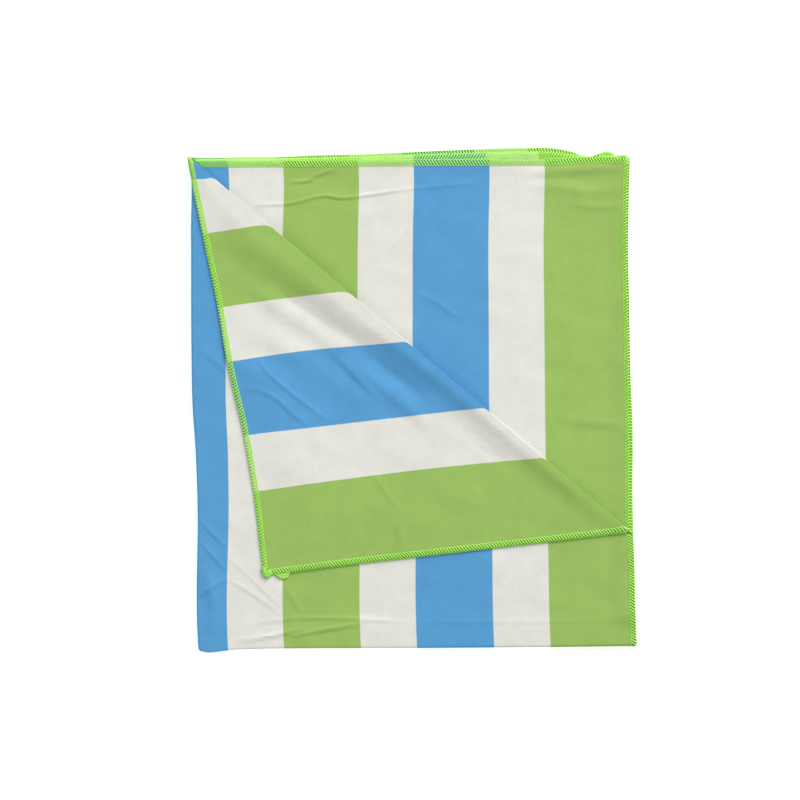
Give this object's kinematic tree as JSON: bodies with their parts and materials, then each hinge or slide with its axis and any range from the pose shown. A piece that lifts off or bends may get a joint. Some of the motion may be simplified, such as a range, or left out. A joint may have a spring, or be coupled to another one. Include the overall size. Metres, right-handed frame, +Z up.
{
  "type": "quick dry towel",
  "caption": "Large thin striped travel towel with overlocked edges, folded flat into a rectangular stack with the top corner turned down.",
  "frame": {"origin": "on the surface that the towel lies on, under the middle of the folded stack", "axes": "+X from the folded spine to the open side edges, +Y from the bottom fold to the top edge, +Z up through the stack"},
  "size_m": [0.4, 0.45, 0.0134],
  "materials": {
    "towel_cloth": "printed microfibre suede, blue, green and white stripes",
    "overlock_thread": "bright green three-thread overlock stitching"
  },
  "bodies": {
    "lower_half": {"lower_ply_1": "towel_cloth", "lower_ply_2": "towel_cloth", "lower_ply_3": "towel_cloth", "lower_ply_4": "towel_cloth", "lower_side_hem_1": "overlock_thread", "lower_side_hem_2": "overlock_thread", "lower_side_hem_3": "overlock_thread", "lower_side_hem_4": "overlock_thread", "lower_spine_outer": "towel_cloth", "lower_spine_inner": "towel_cloth", "lower_top_fold_upper": "towel_cloth", "lower_top_fold_lower": "towel_cloth", "bottom_fold_1": "towel_cloth", "bottom_fold_2": "towel_cloth", "bottom_fold_3": "towel_cloth", "bottom_fold_4": "towel_cloth"},
    "upper_half": {"upper_ply_1": "towel_cloth", "upper_ply_2": "towel_cloth", "upper_ply_3": "towel_cloth", "upper_ply_4": "towel_cloth", "upper_side_hem_1": "overlock_thread", "upper_side_hem_2": "overlock_thread", "upper_side_hem_3": "overlock_thread", "upper_side_hem_4": "overlock_thread", "upper_end_hem_2": "overlock_thread", "upper_end_hem_3": "overlock_thread", "upper_end_hem_4": "overlock_thread", "upper_spine_outer": "towel_cloth", "upper_spine_inner": "towel_cloth"},
    "corner": {"flap_ply": "towel_cloth", "flap_end_hem": "overlock_thread", "flap_side_hem": "overlock_thread", "flap_roll": "towel_cloth"}
  },
  "joints": [
    {"name": "half_fold", "type": "hinge", "parent": "lower_half", "child": "upper_half", "pos_m": [0, -0.22085, 0.00425], "axis": [1, 0, 0], "range_deg": [0, 178], "deforming": ["bottom_fold_1", "bottom_fold_2", "bottom_fold_3", "bottom_fold_4"]},
    {"name": "corner_fold", "type": "hinge", "parent": "upper_half", "child": "corner", "pos_m": [0, 0.05, 0.0106], "axis": [-0.7601, 0.6499, 0], "range_deg": [0, 179], "deforming": ["flap_roll"]}
  ]
}
